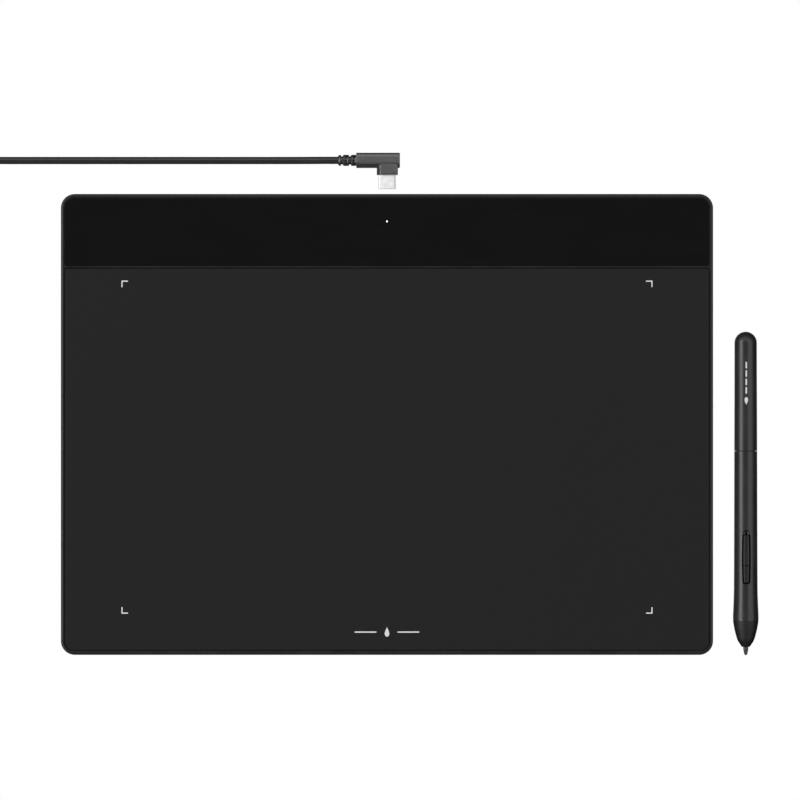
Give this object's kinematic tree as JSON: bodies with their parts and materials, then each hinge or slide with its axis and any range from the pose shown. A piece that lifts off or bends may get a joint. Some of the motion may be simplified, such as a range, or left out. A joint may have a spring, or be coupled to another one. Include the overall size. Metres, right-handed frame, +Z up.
{
  "type": "pen drawing tablet",
  "caption": "Flat black pen drawing tablet with a matte drawing film, a glossy header strip, a battery-free pen with side buttons, and a right-angled USB-C lead.",
  "frame": {"origin": "on the desk surface, under the middle of the bounding box of the tablet and pen together (the lead is left out)", "axes": "+X to the user's right along the tablet's long side, +Y away from the user towards the lead and the header strip, +Z up out of the drawing surface"},
  "size_m": [0.4269, 0.2405, 0.0123],
  "materials": {
    "case_plastic": "fine-textured black moulded plastic",
    "drawing_film": "matte black drawing film with a paper-like grain and printed corner marks",
    "header_gloss": "smooth black strip with a soft gloss",
    "clear_plastic": "clear light pipe and lamp lens",
    "foot_rubber": "black rubber",
    "circuit_board": "green solder mask",
    "shield_metal": "thin plain shield sheet",
    "fastener_steel": "zinc-plated screws",
    "connector_metal": "nickel-plated steel",
    "chip_black": "moulded chip package",
    "ribbon": "flat flexible cable",
    "insert_plastic": "black moulded insert",
    "pen_plastic": "satin black pen barrel",
    "pen_trim": "matte black nose and buttons",
    "nib_plastic": "black nib",
    "ferrite": "dark grey ferrite",
    "copper": "enamelled copper winding",
    "cord_rubber": "soft black cord jacket and mouldings",
    "tie_fabric": "black hook-and-loop tie"
  },
  "bodies": {
    "tablet": {"bottom_cover": "case_plastic", "top_cover": "case_plastic", "drawing_film": "drawing_film", "header_strip": "header_gloss", "light_pipe": "clear_plastic", "status_led": "clear_plastic", "rubber_foot_1": "foot_rubber", "rubber_foot_2": "foot_rubber", "rubber_foot_3": "foot_rubber", "rubber_foot_4": "foot_rubber", "sensor_board": "circuit_board", "control_board": "circuit_board", "shield_plate": "shield_metal", "cover_screw_1": "fastener_steel", "cover_screw_2": "fastener_steel", "cover_screw_3": "fastener_steel", "cover_screw_4": "fastener_steel", "board_screw_1": "fastener_steel", "board_screw_2": "fastener_steel", "port_shell": "connector_metal", "clock_crystal": "connector_metal", "processor_chip": "chip_black", "analog_chip_1": "chip_black", "analog_chip_2": "chip_black", "voltage_regulator": "chip_black", "ribbon_cable": "ribbon", "ribbon_connector_front": "insert_plastic", "ribbon_connector_back": "insert_plastic", "port_tongue": "insert_plastic"},
    "pen": {"pen_nose_cone": "pen_trim", "pen_front_barrel": "pen_plastic", "pen_rear_barrel": "pen_plastic", "pen_chassis": "insert_plastic", "pen_circuit_board": "circuit_board", "pen_lower_switch": "insert_plastic", "pen_upper_switch": "insert_plastic", "pen_ferrite_core": "ferrite", "pen_coil": "copper", "pen_pressure_spring": "fastener_steel", "pen_pressure_sensor": "insert_plastic"},
    "nib_holder": {"pen_nib_holder": "insert_plastic"},
    "nib": {"pen_nib": "nib_plastic"},
    "lower_button": {"pen_lower_button": "pen_trim"},
    "upper_button": {"pen_upper_button": "pen_trim"},
    "lead": {"usb_c_plug_housing": "cord_rubber", "usb_c_plug_shell": "connector_metal", "usb_c_plug_insert": "insert_plastic", "usb_c_boot": "cord_rubber", "cable_cord": "cord_rubber", "cable_coil": "cord_rubber", "cable_tie_1": "tie_fabric", "cable_tie_2": "tie_fabric", "cable_tail": "cord_rubber", "usb_a_boot": "cord_rubber", "usb_a_housing": "cord_rubber", "usb_a_shell": "connector_metal", "usb_a_insert": "insert_plastic"}
  },
  "joints": [
    {"name": "pen_lift", "type": "slide", "parent": "tablet", "child": "pen", "axis": [0, 0, 1], "range_m": [0, 0.05]},
    {"name": "nib_press", "type": "slide", "parent": "pen", "child": "nib_holder", "axis": [0, 1, -0.0059], "range_m": [0, 0.0006], "stiffness_N_per_m": 800, "deforming": ["pen_pressure_spring"]},
    {"name": "nib_pull", "type": "slide", "parent": "nib_holder", "child": "nib", "axis": [0, -1, 0.0059], "range_m": [0, 0.03]},
    {"name": "lower_button_press", "type": "slide", "parent": "pen", "child": "lower_button", "axis": [0, -0.0059, -1], "range_m": [0, 0.0004], "stiffness_N_per_m": 1500},
    {"name": "upper_button_press", "type": "slide", "parent": "pen", "child": "upper_button", "axis": [0, -0.0059, -1], "range_m": [0, 0.0004], "stiffness_N_per_m": 1500},
    {"name": "plug_insertion", "type": "slide", "parent": "tablet", "child": "lead", "axis": [0, -1, 0], "range_m": [0, 0.00895]}
  ]
}
